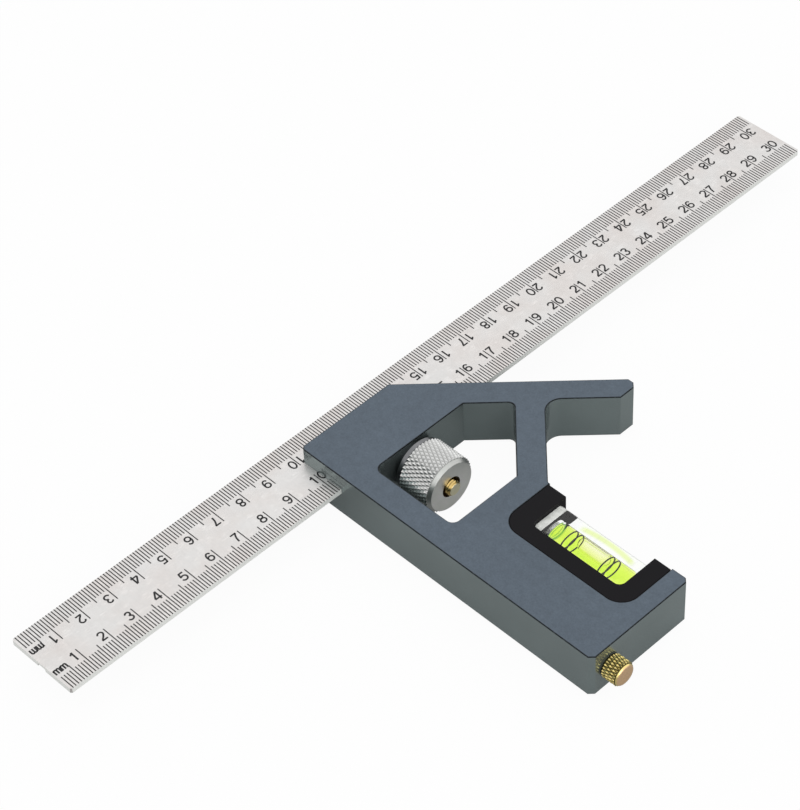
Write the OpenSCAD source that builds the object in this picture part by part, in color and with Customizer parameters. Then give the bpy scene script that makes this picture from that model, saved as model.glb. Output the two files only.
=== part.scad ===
// Adjustable square: a graduated steel blade that slides through a cast head with a shoulder,
// a 45 degree mitre face, a spirit level and a pull-out scriber.
// X runs right along the shoulder, Y runs along the blade and Z runs through the thickness.
// The origin lies on the shoulder face, at the blade's inner edge, halfway through the head.

/* [Blade] */
// Width of the blade
blade_w = 25.4; // [22:0.1:30]
// Length of the blade
blade_len = 305; // [250:1:450]
// Thickness of the blade
blade_t = 1.8; // [1.5:0.1:2.4]
// Length of the blade behind the shoulder face
blade_back = 101.5; // [70:0.5:130]
// Height of the blade's underside above the middle plane of the head
blade_lift = 0.7; // [0.4:0.1:1.2]
// Size of the bevels on the blade's four corners
blade_bevel = 0.5; // [0.2:0.1:1.5]
// Width of the clamping groove along the blade's underside
groove_w = 3.2; // [3:0.1:4]
// Depth of the clamping groove
groove_d = 0.9; // [0.6:0.1:1]
// Clearance of the blade in its slot, on each side
slot_fit = 0.1; // [0.05:0.05:0.3]

/* [Head] */
// Thickness of the head
head_t = 16; // [14:0.5:20]
// Reach of the head to the left of the blade's inner edge
head_left = 16.5; // [12:0.5:20]
// Height above the shoulder at which the mitre face crosses the line of the blade's inner edge
mitre_rise = 52; // [50:0.5:58]
// Height of the mitre arm's tip above the shoulder
tip_h = 85.5; // [80:0.5:100]
// Width of the flat on the arm's tip
tip_flat = 2; // [1:0.1:3]
// Size of the 45 degree cut beside that flat
tip_cut = 1.5; // [0.5:0.1:3]
// Thickness of the free stretch of the mitre arm
arm_t = 7.5; // [5:0.1:9]
// Radius in the corner between the arm and the strut
notch_r = 5; // [2:0.5:8]
// Radius where the strut runs into the block
block_r = 1.2; // [0.5:0.1:1.8]
// Bevel at the left end of the shoulder
left_bevel = 1; // [0.5:0.1:2]
// Bevel at the right end of the shoulder
right_bevel = 1.5; // [0.5:0.1:3]
// Bevel at the top of the right-hand end face
end_bevel = 1.2; // [0.5:0.1:3]

/* [Window] */
// Wall between the blade's inner edge and the window for the knob
window_wall = 5.1; // [4.6:0.1:7]
// Thickness of the bar under the window
window_floor = 9; // [6:0.1:11]
// Width of the window along the shoulder
window_w = 31.5; // [28:0.1:33]
// Thickness of the wall between the window and the mitre face
mitre_wall = 8.56; // [6:0.02:10]
// Thickness of the slanting strut
strut_t = 8.84; // [6:0.02:9]
// Width of the ledge between the strut and the pocket for the level
strut_ledge = 0.8; // [0.6:0.1:3]
// Radius of the window's corners along the bar
window_r = 2.5; // [1:0.1:5]
// Radius of the window's pointed corner
window_tip_r = 2; // [1:0.1:4]

/* [Clamp] */
// Height of the clamp's axis above the shoulder
clamp_y = 24.1; // [21:0.1:28]
// Diameter of the bolt's hooked shank
shank_d = 7.8; // [6:0.1:9]
// Clearance of the shank in its bore, on each side
shank_fit = 0.1; // [0.05:0.05:0.2]
// Diameter of the bolt's threaded stud
stud_d = 5; // [4:0.1:5.4]
// Clearance of the stud through the head's web, on each side
stud_fit = 0.2; // [0.1:0.05:0.4]
// Clearance of the stud in the knob, on each side
thread_fit = 0.05; // [0.02:0.01:0.1]
// Length of stud that stands out of the knob
stud_proud = 1.6; // [0.5:0.1:3]
// Bevel on the stud's end
stud_bevel = 0.5; // [0.2:0.1:1]
// Thickness of the web that the spring and the knob bear on
web_t = 1.4; // [1.2:0.1:1.8]
// Width of the lug that reaches into the blade's groove
lug_w = 2.4; // [1.8:0.1:2.4]
// Clearance of the lug from the side and the floor of the groove
lug_fit = 0.1; // [0.05:0.05:0.15]
// Clearance between the bolt's flat and the floor of the slot
flat_fit = 0.1; // [0.05:0.05:0.3]
// Distance of the bolt's collar from the blade's inner edge
collar_x = 0.8; // [0.7:0.05:1]
// Thickness of the bolt's collar
collar_t = 0.8; // [0.6:0.05:0.9]
// Distance of the bolt's free end from the head's left side
shank_inset = 0.5; // [0.2:0.1:1.5]
// Wire diameter of the release spring
spring_wire = 0.6; // [0.4:0.05:0.7]
// Number of turns of the release spring
spring_turns = 2.5; // [2:0.25:2.75]
// Clearance of the spring from its seats and from the bore
spring_fit = 0.1; // [0.05:0.05:0.2]

/* [Knob] */
// Diameter over the knob's knurl
knob_d = 18.6; // [14:0.1:20]
// Depth of the knob's knurl
knob_knurl_depth = 0.45; // [0.2:0.05:0.6]
// Number of diamonds around the knob
knob_knurl_count = 42; // [24:1:50]
// Number of half diamonds along the knob
knob_knurl_rows = 9; // [6:1:20]
// Length of the knob's knurl
knob_knurl_l = 10.8; // [6:0.1:12]
// Diameter of the hub that bears on the head
hub_d = 11; // [9:0.1:13]
// Length of the hub
hub_l = 1.85; // [1:0.05:3]
// Gap between the hub and the head
hub_gap = 0.05; // [0.02:0.01:0.1]
// Diameter of the plain rim at the knob's inner end
rim_d = 17.4; // [13:0.1:18]
// Length of the plain rim
rim_l = 1.3; // [0.8:0.1:2]
// Width of the groove between the rim and the knurl
rim_groove_w = 0.4; // [0.2:0.1:0.8]
// Depth of that groove below the rim
rim_groove_d = 0.4; // [0.2:0.1:0.8]
// Diameter of the knob's flat outer face
knob_face_d = 16.4; // [12:0.1:17]
// Length of the bevel behind the outer face
knob_bevel_l = 1.2; // [0.5:0.1:1.5]
// Diameter of the recess round the stud in the outer face
knob_recess_d = 7; // [5.8:0.1:8]
// Depth of that recess
knob_recess_l = 1.4; // [0.8:0.1:3]

/* [Level] */
// Wall between the window and the holder's pocket
pocket_wall = 8.9; // [7:0.1:12]
// Width of the pocket
pocket_w = 46.5; // [40:0.1:60]
// Height of the pocket's floor above the shoulder
pocket_floor = 19; // [14:0.1:24]
// Depth of the pocket below the top of the block
pocket_depth = 20.3; // [19:0.1:24]
// Wall between the pocket and the right-hand end face
end_wall = 6.1; // [4:0.1:12]
// Radius of the pocket's lower corners
pocket_r = 6; // [3:0.5:8]
// Clearance of the holder in its pocket, on each side
holder_fit = 0.1; // [0.05:0.05:0.2]
// Distance of the holder's faces from the head's faces
holder_inset = 0.1; // [0:0.05:1]
// Distance of the holder's arms below the top of the block
holder_drop = 0.6; // [0:0.1:1.2]
// Thickness of the holder's left arm
holder_left = 6.7; // [4:0.1:8]
// Thickness of the holder's right arm
holder_right = 5.9; // [4:0.1:8]
// Thickness of the holder's floor
holder_floor = 5.3; // [3:0.1:6]
// Radius of the holder's inner corners, and of the vial's lower corners in them
holder_r = 2.2; // [0.5:0.1:4]
// Width and height of the vial's square section
vial_w = 12.4; // [11:0.1:13]
// Bevel along the vial's four long edges
vial_bevel = 0.8; // [0.6:0.1:1.2]
// Clearance between the vial and its holder
vial_fit = 0.1; // [0.05:0.05:0.2]
// Thickness of the vial's closed end
vial_end_t = 2; // [1.5:0.1:4]
// Thickness of the plug that closes the vial's other end
plug_t = 2.6; // [1.5:0.1:4]
// Length of the plug's spigot in the bore
plug_spigot = 1.2; // [0.5:0.1:2]
// Diameter of the vial's bore
vial_bore_d = 7.8; // [6:0.1:9]
// Clearance between the pieces in the bore
vial_skin = 0.02; // [0.01:0.01:0.05]
// Length of the bubble
bubble_l = 11.6; // [8:0.1:12]
// Diameter of the bubble
bubble_d = 5.6; // [4:0.1:6]
// Rise of the bubble's skin past the liquid's skin, which leaves it open to the bore
bubble_rise = 0.2; // [0.1:0.05:0.4]
// Distance between the two inner rings
ring_gap = 11.9; // [9:0.1:14]
// Distance between the two rings of a pair
ring_pitch = 2.1; // [1:0.1:3]
// Width of a ring
ring_w = 0.3; // [0.2:0.05:0.5]
// Depth of a ring into the bore
ring_depth = 0.25; // [0.1:0.05:0.4]

/* [Scriber] */
// Height of the scriber's axis above the shoulder
scriber_y = 7.1; // [6:0.1:9]
// Diameter of the scriber's pin
pin_d = 2.4; // [1.6:0.1:3]
// Length of the pin inside the head
pin_l = 58; // [40:1:75]
// Length of the pin's point
pin_point = 7; // [4:0.5:10]
// Diameter of the flat on the point's tip
pin_tip_d = 0.2; // [0.1:0.05:0.5]
// Depth of the pin's seat in the scriber's head
pin_seat = 3.6; // [2:0.1:4.5]
// Depth of the pin's hole beyond its point
pin_spare = 2; // [1:0.5:5]
// Clearance of the pin in the sleeve, on each side
pin_fit = 0.05; // [0.02:0.01:0.1]
// Clearance of the pin in the head, on each side
pin_room = 0.3; // [0.2:0.05:0.5]
// Outer diameter of the sleeve that grips the pin
sleeve_d = 4.6; // [4:0.1:6]
// Length of the sleeve
sleeve_l = 12; // [6:0.5:16]
// Width of the slit along the sleeve
sleeve_slit = 0.6; // [0.3:0.1:1]
// Diameter over the scriber head's knurl
grip_d = 7.9; // [6:0.1:10]
// Length of the scriber's head
grip_l = 5.9; // [4:0.1:8]
// Gap between the scriber's head and the end face
grip_gap = 0.1; // [0.05:0.05:0.3]
// Length of the plain band at the inner end of the scriber's head
grip_band = 0.5; // [0.3:0.1:1]
// Radius of the rounding at its outer end
grip_round = 0.9; // [0.4:0.1:1.5]
// Depth of the scriber head's knurl
grip_knurl_depth = 0.35; // [0.2:0.05:0.5]
// Number of diamonds around the scriber's head
grip_knurl_count = 24; // [12:1:28]
// Number of half diamonds along the scriber's head
grip_knurl_rows = 3; // [2:1:12]

/* [Hidden] */
$fn = 64;

head_colour = [0.40, 0.44, 0.47];
blade_colour = [0.84, 0.83, 0.81];
brass_colour = [0.80, 0.66, 0.35];
knob_colour = [0.75, 0.75, 0.74];
steel_colour = [0.60, 0.61, 0.62];
black_colour = [0.12, 0.12, 0.13];
clear_colour = [0.93, 0.96, 0.93, 0.35];
liquid_colour = [0.80, 0.95, 0.22];

// Cutters run past the faces they cut by this much
over = 1;
lap = 0.01;
diagonal = sqrt(2);

// The blade's slot and what lines up with it
slot_low = blade_lift - slot_fit;
slot_high = blade_lift + blade_t + slot_fit;
groove_mid = -blade_w / 2;

// The walls along the shoulder, from the blade to the right-hand end face
window_right = window_wall + window_w;
pocket_x = window_right + pocket_wall;
pocket_right = pocket_x + pocket_w;
head_right = pocket_right + end_wall;
block_h = pocket_floor + pocket_depth;

// Corners of the head, as places where its slanting lines cross. The mitre's lines are named by
// where they cross the line of the blade's inner edge, and the strut's by where they meet the shoulder.
mitre_in = mitre_rise - mitre_wall * diagonal;
arm_in = mitre_rise - arm_t * diagonal;
strut_top = [pocket_x - strut_ledge, block_h];
strut_out = strut_top[0] + block_h;
strut_in = strut_out - strut_t * diagonal;
tip_x = tip_h - mitre_rise;
arm_end_x = tip_x + tip_flat + tip_cut;
notch = [(strut_out - arm_in) / 2, (strut_out + arm_in) / 2];
window_tip = [(strut_in - mitre_in) / 2, (strut_in + mitre_in) / 2];

// The clamp along its axis
bore_r = shank_d / 2 + shank_fit;
web_x = window_wall - web_t;
flat_z = slot_low - flat_fit;
lug_top = blade_lift + groove_d - lug_fit;
lug_right = groove_mid + groove_w / 2 - lug_fit;
shank_end = shank_inset - head_left;
spring_x0 = collar_x + collar_t + spring_fit;
spring_x1 = web_x - spring_fit;
spring_r = bore_r - spring_fit - spring_wire / 2;
hub_x = window_wall + hub_gap;
rim_x = hub_x + hub_l;
knurl_x = rim_x + rim_l + rim_groove_w;
bevel_x = knurl_x + knob_knurl_l;
face_x = bevel_x + knob_bevel_l;
stud_end = face_x + stud_proud;

// The level
holder_x0 = pocket_x + holder_fit;
holder_x1 = pocket_right - holder_fit;
holder_y0 = pocket_floor + holder_fit;
holder_y1 = block_h - holder_drop;
seat_x0 = holder_x0 + holder_left;
seat_x1 = holder_x1 - holder_right;
seat_y = holder_y0 + holder_floor;
vial_x0 = seat_x0 + vial_fit;
vial_x1 = seat_x1 - vial_fit;
vial_mid_x = (vial_x0 + vial_x1) / 2;
vial_y0 = seat_y + vial_fit;
vial_mid_y = vial_y0 + vial_w / 2;
bore_x0 = vial_x0 + plug_t;
bore_x1 = vial_x1 - vial_end_t;
liquid_r = vial_bore_d / 2 - vial_skin;
bubble_y = liquid_r - bubble_d / 2 + bubble_rise;
ring_places = [for (side = [-1, 1], k = [0, 1]) vial_mid_x + side * (ring_gap / 2 + k * ring_pitch)];

// The scriber
pin_tip = head_right - pin_l;
grip_x = head_right + grip_gap;
grip_end = grip_x + grip_l;
pin_end = grip_x + pin_seat;

// A straight cylinder along X, from one place to another
module rod(x0, x1, r, r_end = -1) {
    translate([x0, 0, 0])
        rotate([0, 90, 0])
            cylinder(h = x1 - x0, r1 = r, r2 = r_end < 0 ? r : r_end);
}

// The shape between a corner at p and the arc of radius r that rounds it. The corner's two
// edges leave p in the directions a and b, with b up to 180 degrees past a. The shape laps over
// both edges, into the material that it joins.
module corner_patch(p, a, b, r) {
    half = (b - a) / 2;
    middle = [cos(a + half), sin(a + half)];
    centre = p + r / sin(half) * middle;
    outer = centre - (r + lap) / sin(half) * middle;
    reach = (r + lap) / tan(half);
    difference() {
        polygon([outer, outer + reach * [cos(a), sin(a)], centre, outer + reach * [cos(b), sin(b)]]);
        translate(centre) circle(r);
    }
}

// A turned piece along X with a knurled stretch. Its plain stretches before and after the knurl
// are lists of places and radii. The knurl is rows of four-sided pyramids, each row turned by
// half a diamond, so every second point of a ring is a peak and the others are valleys.
module knurled_turning(before, after, x0, l, r, depth, count, rows) {
    steps = 2 * count;
    rings = concat(
        [for (p = before) [p[0], p[1], p[1]]],
        [for (j = [0:rows]) [x0 + l * j / rows, r - depth * (j % 2), r - depth * ((j + 1) % 2)]],
        [for (p = after) [p[0], p[1], p[1]]]
    );
    last = len(rings) - 1;
    points = [for (ring = rings, i = [0:steps - 1])
        let (radius = ring[1 + i % 2], turn = 180 * i / count)
        [ring[0], radius * cos(turn), radius * sin(turn)]];
    sides = [for (k = [0:last - 1], i = [0:steps - 1])
        let (a = k * steps + i, b = k * steps + (i + 1) % steps, c = b + steps, d = a + steps,
             peak = rings[k][1 + i % 2] >= rings[k + 1][1 + i % 2])
        each (peak ? [[a, d, b], [b, d, c]] : [[a, c, b], [a, d, c]])];
    ends = [[for (i = [0:steps - 1]) i], [for (i = [steps - 1:-1:0]) last * steps + i]];
    polyhedron(points, concat(sides, ends));
}

module head_outline() {
    difference() {
        union() {
            polygon([
                [-head_left, left_bevel],
                [left_bevel - head_left, 0],
                [head_right - right_bevel, 0],
                [head_right, right_bevel],
                [head_right, block_h - end_bevel],
                [head_right - end_bevel, block_h],
                strut_top,
                notch,
                [arm_end_x, arm_end_x + arm_in],
                [arm_end_x, tip_h - tip_cut],
                [arm_end_x - tip_cut, tip_h],
                [tip_x, tip_h],
                [-head_left, mitre_rise - head_left]
            ]);
            corner_patch(notch, -45, 45, notch_r);
            corner_patch(strut_top, 0, 135, block_r);
        }
        window_outline();
        pocket_outline(pocket_x, pocket_right, pocket_floor, pocket_r, block_h + over);
    }
}

module window_outline() {
    low_left = [window_wall, window_floor];
    low_right = [window_right, window_floor];
    difference() {
        polygon([
            low_left,
            low_right,
            [window_right, strut_in - window_right],
            window_tip,
            [window_wall, window_wall + mitre_in]
        ]);
        corner_patch(low_left, 0, 90, window_r);
        corner_patch(low_right, 90, 180, window_r);
        corner_patch(window_tip, -135, -45, window_tip_r);
    }
}

// A recess with rounded lower corners, open at the top
module pocket_outline(x0, x1, y0, r, top) {
    difference() {
        translate([x0, y0]) square([x1 - x0, top - y0]);
        corner_patch([x0, y0], 0, 90, r);
        corner_patch([x1, y0], 90, 180, r);
    }
}

module head() {
    color(head_colour)
        difference() {
            translate([0, 0, -head_t / 2])
                linear_extrude(head_t)
                    head_outline();
            translate([-head_left - over, -over, slot_low])
                cube([head_left + over + slot_fit, mitre_rise + 2 * over, slot_high - slot_low]);
            translate([0, clamp_y, 0]) {
                rod(-head_left - over, web_x, bore_r);
                rod(web_x - over, window_wall + over, stud_d / 2 + stud_fit);
            }
            translate([0, scriber_y, 0]) {
                rod(head_right - sleeve_l, head_right + over, sleeve_d / 2);
                rod(pin_tip - pin_spare, head_right, pin_d / 2 + pin_room);
            }
        }
}

module blade() {
    color(blade_colour)
        difference() {
            translate([-blade_w, -blade_back, blade_lift])
                linear_extrude(blade_t)
                    polygon([
                        [0, blade_bevel],
                        [blade_bevel, 0],
                        [blade_w - blade_bevel, 0],
                        [blade_w, blade_bevel],
                        [blade_w, blade_len - blade_bevel],
                        [blade_w - blade_bevel, blade_len],
                        [blade_bevel, blade_len],
                        [0, blade_len - blade_bevel]
                    ]);
            translate([groove_mid - groove_w / 2, -blade_back - over, blade_lift - over])
                cube([groove_w, blade_len + 2 * over, groove_d + over]);
        }
}

// The bolt's round shank is cut flat under the blade, apart from the lug that stays in the groove
module clamp_bolt() {
    color(brass_colour)
        translate([0, clamp_y, 0]) {
            difference() {
                rod(shank_end, collar_x + collar_t, shank_d / 2);
                difference() {
                    translate([shank_end - over, -shank_d, flat_z])
                        cube([collar_x - shank_end + over, 2 * shank_d, shank_d]);
                    translate([lug_right - lug_w, -shank_d, flat_z - over])
                        cube([lug_w, 2 * shank_d, lug_top - flat_z + over]);
                }
            }
            rod(collar_x + collar_t, stud_end - stud_bevel, stud_d / 2);
            rod(stud_end - stud_bevel, stud_end, stud_d / 2, stud_d / 2 - stud_bevel);
        }
}

// A wire of small round section, wound as a helix round the stud
module clamp_spring() {
    sides = 8;
    per_turn = 16;
    rings = round(per_turn * spring_turns);
    wire_r = spring_wire / 2;
    rise = spring_x1 - spring_x0 - spring_wire;
    points = [for (k = [0:rings], s = [0:sides - 1])
        let (turn = 360 * k / per_turn, round_wire = 360 * s / sides,
             radius = spring_r + wire_r * cos(round_wire))
        [spring_x0 + wire_r + rise * k / rings + wire_r * sin(round_wire),
         radius * cos(turn), radius * sin(turn)]];
    skin = [for (k = [0:rings - 1], s = [0:sides - 1])
        let (a = k * sides + s, b = k * sides + (s + 1) % sides)
        each [[a, b, a + sides], [b, b + sides, a + sides]]];
    ends = [[for (s = [sides - 1:-1:0]) s], [for (s = [0:sides - 1]) rings * sides + s]];
    color(steel_colour)
        translate([0, clamp_y, 0])
            polyhedron(points, concat(skin, ends));
}

// The knob is turned with a hub, a rim, a groove and a bevelled face, and knurled between them
module clamp_knob() {
    core_r = rim_d / 2 - rim_groove_d;
    color(knob_colour)
        translate([0, clamp_y, 0])
            difference() {
                knurled_turning(
                    [[hub_x, hub_d / 2], [rim_x, hub_d / 2], [rim_x, rim_d / 2],
                     [rim_x + rim_l, rim_d / 2], [rim_x + rim_l, core_r], [knurl_x, core_r]],
                    [[bevel_x, knob_d / 2 - knob_knurl_depth], [face_x, knob_face_d / 2]],
                    knurl_x, knob_knurl_l, knob_d / 2,
                    knob_knurl_depth, knob_knurl_count, knob_knurl_rows);
                rod(hub_x - over, face_x + over, stud_d / 2 + thread_fit);
                rod(face_x - knob_recess_l, face_x + over, knob_recess_d / 2);
            }
}

module vial_holder() {
    color(black_colour)
        translate([0, 0, holder_inset - head_t / 2])
            linear_extrude(head_t - 2 * holder_inset)
                difference() {
                    pocket_outline(holder_x0, holder_x1, holder_y0, pocket_r - holder_fit, holder_y1);
                    pocket_outline(seat_x0, seat_x1, seat_y, holder_r, holder_y1 + over);
                }
}

// A length of the vial's square section, with its long edges bevelled. The vial's two lower
// corners are rounded, so that they clear the corners of the holder.
module vial_bar(x0, x1) {
    half = vial_w / 2;
    flat = half - vial_bevel;
    intersection() {
        translate([x0, vial_mid_y, 0])
            rotate([90, 0, 90])
                linear_extrude(x1 - x0)
                    polygon([[-flat, -half], [flat, -half], [half, -flat], [half, flat],
                             [flat, half], [-flat, half], [-half, flat], [-half, -flat]]);
        translate([0, 0, -half])
            linear_extrude(vial_w)
                pocket_outline(vial_x0, vial_x1, vial_y0, holder_r, vial_y0 + vial_w);
    }
}

module vial_body() {
    color(clear_colour)
        difference() {
            vial_bar(bore_x0, vial_x1);
            translate([0, vial_mid_y, 0]) rod(bore_x0 - over, bore_x1, vial_bore_d / 2);
        }
}

module vial_plug() {
    color(clear_colour) {
        vial_bar(vial_x0, bore_x0);
        translate([0, vial_mid_y, 0]) rod(bore_x0, bore_x0 + plug_spigot, liquid_r);
    }
}

// The liquid fills the bore, apart from the bubble and the rings
module vial_liquid() {
    straight = bubble_l / 2 - bubble_d / 2;
    color(liquid_colour)
        translate([0, vial_mid_y, 0])
            difference() {
                rod(bore_x0 + plug_spigot + vial_skin, bore_x1 - vial_skin, liquid_r);
                translate([vial_mid_x, bubble_y, 0]) {
                    rod(-straight, straight, bubble_d / 2);
                    for (end = [-straight, straight]) translate([end, 0, 0]) sphere(bubble_d / 2);
                }
                for (x = ring_places) ring_band(x, ring_w / 2 + vial_skin, liquid_r + over,
                                                liquid_r - ring_depth - vial_skin);
            }
}

// A band round the bore's axis, from one radius in to another
module ring_band(x, half_w, r_out, r_in) {
    difference() {
        rod(x - half_w, x + half_w, r_out);
        rod(x - half_w - over, x + half_w + over, r_in);
    }
}

module vial_rings() {
    color(black_colour)
        translate([0, vial_mid_y, 0])
            for (x = ring_places) ring_band(x, ring_w / 2, liquid_r, liquid_r - ring_depth);
}

module scriber_sleeve() {
    color(brass_colour)
        translate([0, scriber_y, 0])
            difference() {
                rod(head_right - sleeve_l, head_right, sleeve_d / 2);
                rod(head_right - sleeve_l - over, head_right + over, pin_d / 2 + pin_fit);
                translate([head_right - sleeve_l - over, 0, -sleeve_slit / 2])
                    cube([sleeve_l + 2 * over, sleeve_d, sleeve_slit]);
            }
}

module scriber_pin() {
    color(steel_colour)
        translate([0, scriber_y, 0]) {
            rod(pin_tip, pin_tip + pin_point, pin_tip_d / 2, pin_d / 2);
            rod(pin_tip + pin_point, pin_end, pin_d / 2);
        }
}

module scriber_head() {
    band_r = grip_d / 2 - grip_knurl_depth;
    color(brass_colour)
        translate([0, scriber_y, 0])
            difference() {
                knurled_turning(
                    [[grip_x, band_r], [grip_x + grip_band, band_r]],
                    [for (a = [0:15:90])
                        [grip_end - grip_round * (1 - sin(a)), band_r - grip_round * (1 - cos(a))]],
                    grip_x + grip_band, grip_l - grip_band - grip_round, grip_d / 2,
                    grip_knurl_depth, grip_knurl_count, grip_knurl_rows);
                rod(grip_x - over, pin_end, pin_d / 2);
            }
}

head();
blade();
clamp_bolt();
clamp_spring();
clamp_knob();
vial_holder();
vial_body();
vial_plug();
vial_liquid();
vial_rings();
scriber_sleeve();
scriber_pin();
scriber_head();
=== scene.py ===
"""Adjustable square: scale, finishes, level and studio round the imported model.

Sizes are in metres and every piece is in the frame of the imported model: X runs right along the
shoulder, Y along the blade and Z up through the thickness, with the shoulder face at Y = 0 and
the blade's inner edge at X = 0.
"""

import math

import bmesh
import bpy
from mathutils import Matrix, Vector


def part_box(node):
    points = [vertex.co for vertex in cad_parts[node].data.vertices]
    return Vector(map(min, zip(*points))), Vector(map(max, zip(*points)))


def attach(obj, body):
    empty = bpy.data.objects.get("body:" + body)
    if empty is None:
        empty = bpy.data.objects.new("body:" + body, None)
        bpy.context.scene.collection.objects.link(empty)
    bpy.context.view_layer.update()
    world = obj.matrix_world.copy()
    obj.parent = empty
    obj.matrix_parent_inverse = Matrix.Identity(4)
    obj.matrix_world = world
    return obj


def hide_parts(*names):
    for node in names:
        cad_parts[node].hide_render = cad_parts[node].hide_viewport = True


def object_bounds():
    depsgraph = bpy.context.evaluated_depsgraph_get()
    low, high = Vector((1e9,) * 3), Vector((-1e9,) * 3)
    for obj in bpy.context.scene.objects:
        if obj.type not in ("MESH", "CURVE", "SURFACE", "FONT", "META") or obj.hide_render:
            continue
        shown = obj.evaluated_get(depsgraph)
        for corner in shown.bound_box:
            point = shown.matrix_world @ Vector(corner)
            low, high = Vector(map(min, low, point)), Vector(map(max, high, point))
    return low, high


bl_info = {
    "name": "Adjustable Square",
    "version": (1, 0, 0),
    "blender": (4, 5, 0),
    "location": "View3D > Sidebar > Square",
    "description": "Gives an adjustable square its scale, finishes, spirit level and studio",
    "category": "Object",
}

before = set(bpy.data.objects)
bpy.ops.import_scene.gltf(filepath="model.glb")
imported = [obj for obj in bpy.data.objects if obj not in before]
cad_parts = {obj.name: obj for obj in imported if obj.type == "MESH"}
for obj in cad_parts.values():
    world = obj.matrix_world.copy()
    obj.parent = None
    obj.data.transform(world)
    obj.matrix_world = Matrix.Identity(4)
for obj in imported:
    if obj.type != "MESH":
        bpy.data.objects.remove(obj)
CAD_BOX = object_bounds()
MM = 0.001
# Points closer than TOUCH are one point. Surfaces held SKIN apart look as if they touch.
TOUCH = 0.001 * MM
SKIN = 0.01 * MM
BLADE_LOW, BLADE_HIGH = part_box("blade")
HEAD_LOW, HEAD_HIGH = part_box("head")
BOLT_LOW, BOLT_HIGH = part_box("clamp_bolt")
KNOB_LOW, KNOB_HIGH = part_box("clamp_knob")
GRIP_LOW, GRIP_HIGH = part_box("scriber_head")
VIAL_LOW, VIAL_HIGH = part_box("vial_body")
PLUG_LOW, PLUG_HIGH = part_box("vial_plug")
LIQUID_LOW, LIQUID_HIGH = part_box("vial_liquid")


# Settings

class BladeSettings(bpy.types.PropertyGroup):
    steel: bpy.props.FloatVectorProperty(
        name="Steel", description="Colour of the satin steel", subtype="COLOR",
        default=(0.70, 0.69, 0.68), min=0, max=1)
    ground: bpy.props.FloatVectorProperty(
        name="Ground Edge", description="Colour of the bright ground edges", subtype="COLOR",
        default=(0.86, 0.87, 0.84), min=0, max=1)
    ink: bpy.props.FloatVectorProperty(
        name="Ink", description="Colour of the filled marks", subtype="COLOR",
        default=(0.008, 0.008, 0.009), min=0, max=1)
    step_mark: bpy.props.FloatProperty(
        name="Millimetre Mark", description="Length of a millimetre mark", unit="LENGTH",
        default=5.3 * MM)
    half_mark: bpy.props.FloatProperty(
        name="Half Mark", description="Length of a five millimetre mark", unit="LENGTH",
        default=6.9 * MM)
    full_mark: bpy.props.FloatProperty(
        name="Centimetre Mark", description="Length of a centimetre mark", unit="LENGTH",
        default=10 * MM)
    mark_width: bpy.props.FloatProperty(
        name="Mark Width", description="Width of every mark", unit="LENGTH", default=0.34 * MM)
    mark_thickness: bpy.props.FloatProperty(
        name="Mark Thickness", description="Thickness of the ink in marks and numerals",
        unit="LENGTH", default=0.02 * MM)
    numeral_height: bpy.props.FloatProperty(
        name="Numeral Height", description="Height of the numerals", unit="LENGTH",
        default=3.4 * MM)
    numeral_edge: bpy.props.FloatProperty(
        name="Numeral Edge", description="Distance of the numerals from the blade's edge",
        unit="LENGTH", default=6.55 * MM)
    digit_lead: bpy.props.FloatProperty(
        name="Digit Lead", description="How far a single digit stands before its mark",
        unit="LENGTH", default=1.9 * MM)
    tens_lead: bpy.props.FloatProperty(
        name="Tens Lead", description="Distance of the first of two digits from their mark",
        unit="LENGTH", default=1.5 * MM)
    units_lag: bpy.props.FloatProperty(
        name="Units Lag", description="Distance of the second of two digits from their mark",
        unit="LENGTH", default=1.6 * MM)
    unit_start: bpy.props.FloatProperty(
        name="Unit Start", description="Place of the unit sign's first letter along the scale",
        unit="LENGTH", default=1.6 * MM)
    unit_pitch: bpy.props.FloatProperty(
        name="Unit Pitch", description="Distance between the unit sign's two letters",
        unit="LENGTH", default=2.3 * MM)


class HeadSettings(bpy.types.PropertyGroup):
    coating: bpy.props.FloatVectorProperty(
        name="Coating", description="Colour of the blasted coating on both faces",
        subtype="COLOR", default=(0.100, 0.129, 0.163), min=0, max=1)
    sides: bpy.props.FloatVectorProperty(
        name="Sides", description="Colour of the smooth milled sides", subtype="COLOR",
        default=(0.252, 0.3, 0.3), min=0, max=1)
    # The broken edges are painted this dark colour as painted shade
    edges: bpy.props.FloatVectorProperty(
        name="Edges", description="Colour of the broken edges", subtype="COLOR",
        default=(0.012, 0.016, 0.02), min=0, max=1)
    edge_break: bpy.props.FloatProperty(
        name="Edge Break", description="Width of the broken edges", unit="LENGTH",
        default=0.3 * MM)


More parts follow.
